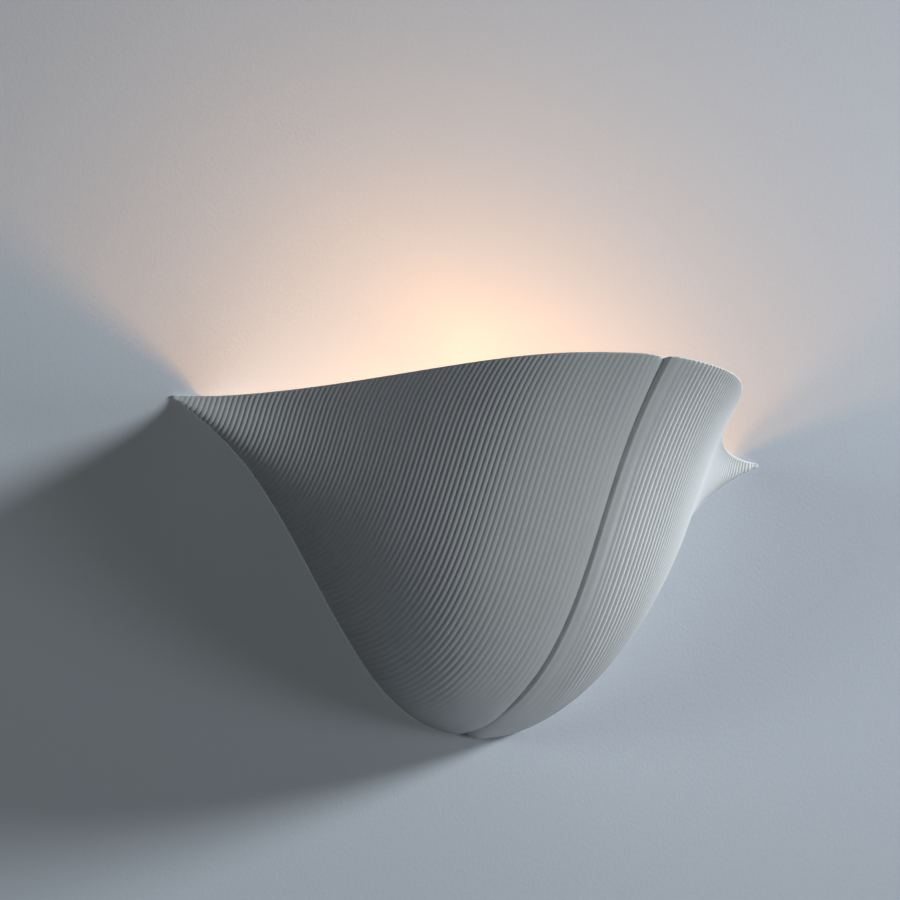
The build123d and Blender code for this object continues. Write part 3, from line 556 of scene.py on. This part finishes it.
class Finish:
    """A node material in object coordinates."""

    def __init__(self, name):
        self.m = bpy.data.materials.new(name)
        self.m.use_nodes = True
        self.t = self.m.node_tree
        self.t.nodes.clear()
        self.out = self.t.nodes.new("ShaderNodeOutputMaterial")
        self.b = self.t.nodes.new("ShaderNodeBsdfPrincipled")
        self.link(self.b.outputs[0], self.out.inputs[0])
        self.tc = self.t.nodes.new("ShaderNodeTexCoord").outputs["Object"]
        self.normal = None

    def link(self, a, b):
        self.t.links.new(a, b)

    def node(self, kind, **inputs):
        n = self.t.nodes.new(kind)
        for k, v in inputs.items():
            k = k.replace("_", " ")
            if isinstance(v, bpy.types.NodeSocket):
                self.link(v, n.inputs[k])
            else:
                n.inputs[k].default_value = v
        return n

    def mapped(self, scale=(1, 1, 1), rot=(0, 0, 0)):
        n = self.t.nodes.new("ShaderNodeMapping")
        n.inputs["Scale"].default_value = scale
        n.inputs["Rotation"].default_value = rot
        self.link(self.tc, n.inputs["Vector"])
        return n.outputs[0]

    def noise(self, scale, detail=3.0, rough=0.5, vec=None, distortion=0.0):
        n = self.node("ShaderNodeTexNoise", Scale=scale, Detail=detail, Roughness=rough, Distortion=distortion)
        self.link(vec if vec is not None else self.tc, n.inputs["Vector"])
        return n.outputs[0]

    def span(self, fac, a, b, lo=0.0, hi=1.0):
        n = self.node("ShaderNodeMapRange")
        self.link(fac, n.inputs[0])
        for i, v in ((1, a), (2, b), (3, lo), (4, hi)):
            n.inputs[i].default_value = v
        return n.outputs[0]

    def mix(self, fac, a, b):
        n = self.t.nodes.new("ShaderNodeMix")
        n.data_type = "RGBA"
        for i, v in ((0, fac), (6, a), (7, b)):
            if isinstance(v, bpy.types.NodeSocket):
                self.link(v, n.inputs[i])
            else:
                n.inputs[i].default_value = v if i == 0 else (*v[:3], 1.0)
        return n.outputs[2]

    def math(self, op, a, b=0.0):
        n = self.t.nodes.new("ShaderNodeMath")
        n.operation = op
        for i, v in ((0, a), (1, b)):
            if isinstance(v, bpy.types.NodeSocket):
                self.link(v, n.inputs[i])
            else:
                n.inputs[i].default_value = v
        return n.outputs[0]

    def edges(self, radius, lo=0.02, hi=0.25):
        """1 on worn edges: where a rounded normal leaves the true one."""
        bev = self.node("ShaderNodeBevel", Radius=radius)
        bev.samples = 4
        geo = self.t.nodes.new("ShaderNodeNewGeometry")
        dot = self.t.nodes.new("ShaderNodeVectorMath")
        dot.operation = "DOT_PRODUCT"
        self.link(bev.outputs[0], dot.inputs[0])
        self.link(geo.outputs["Normal"], dot.inputs[1])
        k = self.math("SUBTRACT", 1.0, dot.outputs["Value"])
        return self.span(k, lo, hi)

    def bump(self, height, dist, strength=1.0):
        n = self.node("ShaderNodeBump", Strength=strength, Distance=dist)
        self.link(height, n.inputs["Height"])
        if self.normal is not None:
            self.link(self.normal, n.inputs["Normal"])
        self.normal = n.outputs[0]
        self.link(self.normal, self.b.inputs["Normal"])

    def set(self, **k):
        for name, v in k.items():
            name = name.replace("_", " ")
            if isinstance(v, bpy.types.NodeSocket):
                self.link(v, self.b.inputs[name])
            else:
                self.b.inputs[name].default_value = (*v[:3], 1.0) if isinstance(v, (tuple, list)) else v
        return self


def tint(c, k):
    return tuple(min(1.0, x * k) for x in c)


def plaster():
    f = Finish("plaster_matt")
    big = f.noise(14.0, 3.0, 0.55)
    mid = f.noise(95.0, 4.0, 0.6)
    fine = f.noise(900.0, 3.0, 0.6)
    pits = f.node("ShaderNodeTexVoronoi", Scale=520.0)
    f.link(f.tc, pits.inputs["Vector"])
    pit = f.span(pits.outputs["Distance"], 0.05, 0.22)
    thin = f.span(f.noise(60.0, 2.0), 0.52, 0.66)
    base = (0.745, 0.748, 0.745)
    c = f.mix(f.span(big, 0.35, 0.65), tint(base, 0.975), tint(base, 1.012))
    c = f.mix(f.span(mid, 0.55, 0.80, 0.0, 0.35), c, (0.712, 0.708, 0.695))
    f.set(Base_Color=c, Roughness=f.span(mid, 0.3, 0.7, 0.58, 0.72), Specular_IOR_Level=0.35)
    f.bump(f.math("ADD", f.math("MULTIPLY", fine, 0.5), f.math("MULTIPLY", mid, 0.8)), 0.00012, 0.6)
    f.bump(f.math("MULTIPLY", f.math("SUBTRACT", 1.0, pit), thin), -0.00012, 0.6)
    return f.m


def metal(name, base, rough, grain=(1, 1, 1), scale=420.0, tone=0.10, bump=0.00003, dull=None, edge=0.0003):
    f = Finish(name)
    vec = f.mapped(grain)
    fine = f.noise(scale, 4.0, 0.6, vec)
    cloud = f.noise(60.0, 3.0, 0.6)
    c = f.mix(f.span(cloud, 0.35, 0.68), tint(base, 1 - tone), tint(base, 1 + tone * 0.5))
    if dull:
        c = f.mix(f.span(f.noise(150.0, 5.0, 0.65), 0.56, 0.72, 0.0, 0.7), c, dull)
    c = f.mix(f.math("MULTIPLY", f.edges(edge), 0.55), c, tint(base, 1.18))
    f.set(Base_Color=c, Metallic=1.0, Roughness=f.span(fine, 0.3, 0.7, rough - 0.07, rough + 0.09))
    f.bump(fine, bump, 0.6)
    return f.m


def coated(name, base, rough, peel=260.0, depth=0.00006, wear=None, spec=0.5, coat=0.0, edge=0.0005):
    f = Finish(name)
    peel_n = f.noise(peel, 2.0, 0.5)
    cloud = f.noise(22.0, 3.0, 0.6)
    c = f.mix(f.span(cloud, 0.35, 0.65), tint(base, 0.965), tint(base, 1.015))
    if wear:
        spot = f.math("MULTIPLY", f.edges(edge), f.span(f.noise(240.0, 3.0), 0.45, 0.62))
        c = f.mix(f.math("MULTIPLY", spot, 0.8), c, wear)
    f.set(Base_Color=c, Roughness=f.span(f.noise(120.0, 3.0), 0.3, 0.7, rough - 0.05, rough + 0.06),
          Specular_IOR_Level=spec)
    if coat:
        f.set(Coat_Weight=coat, Coat_Roughness=0.12)
    f.bump(peel_n, depth, 0.5)
    return f.m


def opal():
    f = Finish("lamp_opal_lit")
    n = f.noise(35.0, 2.0)
    f.set(Base_Color=f.mix(n, (0.93, 0.90, 0.84), (0.97, 0.94, 0.89)),
          Roughness=f.span(f.noise(220.0, 2.0), 0.3, 0.7, 0.22, 0.34),
          Emission_Color=(1.0, 0.78, 0.52), Emission_Strength=GLOW)
    f.bump(f.noise(90.0, 2.0), 0.00005, 0.4)
    return f.m


def earth_sleeve():
    f = Finish("lead_green_yellow")
    w = f.t.nodes.new("ShaderNodeTexWave")
    w.wave_type, w.bands_direction = "BANDS", "DIAGONAL"
    w.inputs["Scale"].default_value = 34.0
    f.link(f.tc, w.inputs["Vector"])
    k = f.span(w.outputs["Fac"], 0.47, 0.53)
    n = f.noise(70.0, 3.0)
    f.set(Base_Color=f.mix(k, f.mix(n, (0.05, 0.26, 0.05), (0.07, 0.32, 0.07)), (0.82, 0.68, 0.05)),
          Roughness=f.span(n, 0.3, 0.7, 0.38, 0.50))
    f.bump(f.noise(500.0, 2.0), 0.00003, 0.4)
    return f.m


GLOW = 0.6

MAT = {
    "plaster": plaster(),
    "strap_steel": metal("steel_strip_zinc", (0.60, 0.61, 0.62), 0.36, (1, 6, 14), 260.0, 0.12,
                         0.00003, (0.50, 0.51, 0.53)),
    "screw_zinc": metal("screw_bright_zinc", (0.68, 0.70, 0.72), 0.27, (1, 1, 1), 700.0, 0.10,
                        0.00002, (0.60, 0.60, 0.58), 0.0002),
    "brass": metal("brass_turned", (0.80, 0.60, 0.27), 0.24, (1, 1, 6), 600.0, 0.12, 0.00002,
                   (0.58, 0.40, 0.18), 0.0002),
    "plate_white": coated("plate_powder_coat", (0.83, 0.83, 0.81), 0.42, 420.0, 0.00009,
                          (0.55, 0.55, 0.54)),
    "nickel": metal("nickel_plate", (0.72, 0.69, 0.64), 0.20, (1, 1, 8), 500.0, 0.08, 0.000015,
                    (0.58, 0.54, 0.48), 0.0002),
    "black_rubber": coated("rubber_soft", (0.028, 0.028, 0.030), 0.72, 600.0, 0.00006, None, 0.3),
    "holder_white": coated("steatite_glazed", (0.82, 0.80, 0.76), 0.20, 90.0, 0.00005,
                           (0.68, 0.62, 0.54), 0.5, 0.6, 0.0006),
    "spring_bronze": metal("bronze_spring", (0.66, 0.40, 0.20), 0.30, (1, 8, 1), 500.0, 0.12,
                           0.00002, (0.42, 0.24, 0.12), 0.0002),
    "lamp_white": coated("lamp_collar_moulded", (0.86, 0.86, 0.83), 0.28, 150.0, 0.00003, None, 0.5),
    "lamp_opal": opal(),
    "black_glass": coated("insulator_black_glass", (0.018, 0.018, 0.020), 0.14, 200.0, 0.00003, None, 0.6),
    "terminal_white": coated("polyamide_block", (0.80, 0.79, 0.74), 0.46, 320.0, 0.00005,
                             (0.88, 0.88, 0.85), 0.4),
    "nylon": coated("nylon_tip", (0.84, 0.82, 0.75), 0.42, 320.0, 0.00004, (0.90, 0.89, 0.84), 0.4),
    "lead_brown": coated("sleeve_brown", (0.145, 0.062, 0.028), 0.42, 500.0, 0.00003),
    "lead_blue": coated("sleeve_blue", (0.030, 0.095, 0.330), 0.42, 500.0, 0.00003),
    "lead_green": earth_sleeve(),
}
SLOT_OF = {s["node"]: s["material_slot"] for s in frame["record"]["subparts"]}
shell.data.materials.clear()
shell.data.materials.append(MAT["plaster"])
for name, o in NODES.items():
    m = MAT[SLOT_OF[name]]
    if not o.material_slots:
        o.data.materials.append(m)
    for s in o.material_slots:
        s.material = m

# ---------------------------------------------------------------------------
# 3. stage: pale wall, pale floor, camera, soft lights
# ---------------------------------------------------------------------------


def stage_plane(name, centre, size, rot, mat):
    me = bpy.data.meshes.new(name)
    w, h = size
    me.from_pydata([(-w, -h, 0), (w, -h, 0), (w, h, 0), (-w, h, 0)], [], [(0, 1, 2, 3)])
    me.materials.append(mat)
    o = link(name, me)
    o.location = centre
    o.rotation_euler = rot
    return o


def stage_material(name, base, scale, depth):
    f = Finish(name)
    a = f.noise(scale, 3.0, 0.55)
    f.set(Base_Color=f.mix(f.noise(3.0, 2.0), tint(base, 0.985), tint(base, 1.01)), Roughness=0.85,
          Specular_IOR_Level=0.2)
    f.bump(a, depth, 0.5)
    geo = f.t.nodes.new("ShaderNodeNewGeometry")
    clear = f.t.nodes.new("ShaderNodeBsdfTransparent")
    mixer = f.t.nodes.new("ShaderNodeMixShader")
    f.link(geo.outputs["Backfacing"], mixer.inputs[0])
    f.link(f.b.outputs[0], mixer.inputs[1])
    f.link(clear.outputs[0], mixer.inputs[2])
    f.link(mixer.outputs[0], f.out.inputs[0])
    return f.m


wall = stage_plane("stage_wall", (0, 0.0001, 0), (12, 12), (math.radians(90), 0, 0),
                   stage_material("stage_wall_paint", (0.655, 0.668, 0.69), 420.0, 0.00016))
floor = stage_plane("stage_floor", (0, -9.0, -2.2), (12, 9.0), (0, 0, 0),
                    stage_material("stage_floor_paint", (0.72, 0.72, 0.72), 60.0, 0.0003))
wall.visible_shadow = False
floor.visible_shadow = False

A, E = 0.5097401, 0.2108474
ca, sa, ce, se = math.cos(A), math.sin(A), math.cos(E), math.sin(E)
FWD = Vector((sa * ce, ca * ce, se))
RGT = Vector((ca, -sa, 0))
UPW = RGT.cross(FWD)
DIST = 15000 / 336.09207
eye = (-FWD * DIST - RGT * 0.0539576 - UPW * 0.0586999) * HW + Vector((0, 0, TOP))
cam = bpy.data.objects.new("camera", bpy.data.cameras.new("camera"))
bpy.context.scene.collection.objects.link(cam)
cam.data.lens, cam.data.sensor_width = 600.0, 36.0
cam.data.sensor_fit = "HORIZONTAL"
cam.data.clip_start, cam.data.clip_end = 0.5, 60.0
cam.matrix_world = Matrix((
    (RGT.x, UPW.x, -FWD.x, eye.x),
    (RGT.y, UPW.y, -FWD.y, eye.y),
    (RGT.z, UPW.z, -FWD.z, eye.z),
    (0, 0, 0, 1)))
bpy.context.scene.camera = cam


LIT = {"part": bpy.data.collections.new("lit_part"), "stage": bpy.data.collections.new("lit_stage")}
for o in list(bpy.context.scene.objects):
    if o.type == "MESH":
        LIT["stage" if o in (wall, floor) else "part"].objects.link(o)


def lamp(name, data, place, colour, power, to):
    """One light; to names what it shines on, the part, the stage or all."""
    data.energy = power
    data.color = colour
    o = bpy.data.objects.new(name, data)
    bpy.context.scene.collection.objects.link(o)
    o.location = place
    o.visible_camera = False
    if to != "all":
        o.light_linking.receiver_collection = LIT[to]
    return o


def area(name, direction, distance, size, power, colour=(1, 1, 1), to="all", aim=(0, -0.1, 0), spread=45.0):
    """Soft light at a direction from the part, turned towards it."""
    d = Vector(direction).normalized()
    data = bpy.data.lights.new(name, "AREA")
    data.shape = "DISK"
    data.size = size
    data.spread = math.radians(spread)
    o = lamp(name, data, Vector(aim) + d * distance, colour, power, to)
    o.rotation_euler = (-d).to_track_quat("-Z", "Y").to_euler()
    return o


def point(name, place, radius, power, colour, to="all"):
    data = bpy.data.lights.new(name, "POINT")
    data.shadow_soft_size = radius
    return lamp(name, data, place, colour, power, to)


# name, direction, distance, size, power, colour, what it lights
area("key_part", (1.0, -0.2778, 0.44), 3.0, 0.35, 4.6, (0.88, 0.945, 1.0), "part")
area("key_wall", (1.0, -0.3125, 0.44), 3.0, 0.60, 7.8, (0.81, 0.90, 1.0), "stage")
area("fill_part", (0.342, -0.9397, 0.0), 4.0, 0.8, 4.5, (0.90, 0.975, 1.0), "part")
area("fill_front", (0.0, -1.0, 0.0), 4.0, 1.2, 0.45, (0.85, 0.95, 1.0), "part")
area("fill_below", (0.4924, -0.4132, -0.7660), 4.0, 1.2, 0.25, (0.75, 0.9, 1.0), "part")
area("fill_left", (-0.80, -0.55, 0.20), 4.0, 1.2, 0.14, (0.85, 0.93, 1.0), "part")
area("wall_right", (0.866, -0.5, 0.0), 4.0, 1.2, 1.8, (0.78, 0.89, 1.0), "stage")
area("wall_left", (-0.866, -0.5, 0.0), 4.0, 1.2, 2.15, (0.89, 0.98, 1.0), "stage")
area("behind", (0.25, 1.0, 0.45), 3.0, 2.0, 5.0, (1.0, 1.0, 1.0), "part")
# the lamp's own light: its glow on the wall, and the weaker light in the bowl
point("glow_left", (-0.020, -0.125, 0.030), 0.010, 1.03, (1.0, 0.46, 0.11), "stage")
point("glow_right", (0.030, -0.120, 0.020), 0.010, 0.74, (1.0, 0.46, 0.13), "stage")
point("bowl_left", (-0.050, -0.110, 0.035), 0.020, 0.035, (1.0, 0.72, 0.45), "part")
point("bowl_right", (0.050, -0.110, 0.035), 0.020, 0.035, (1.0, 0.72, 0.45), "part")

world = bpy.data.worlds.new("studio")
bpy.context.scene.world = world
world.use_nodes = True
world.node_tree.nodes["Background"].inputs[0].default_value = (0.90, 0.95, 1.0, 1.0)
world.node_tree.nodes["Background"].inputs[1].default_value = 0.012
bpy.context.scene.view_settings.view_transform = "Standard"
bpy.context.scene.view_settings.look = "None"
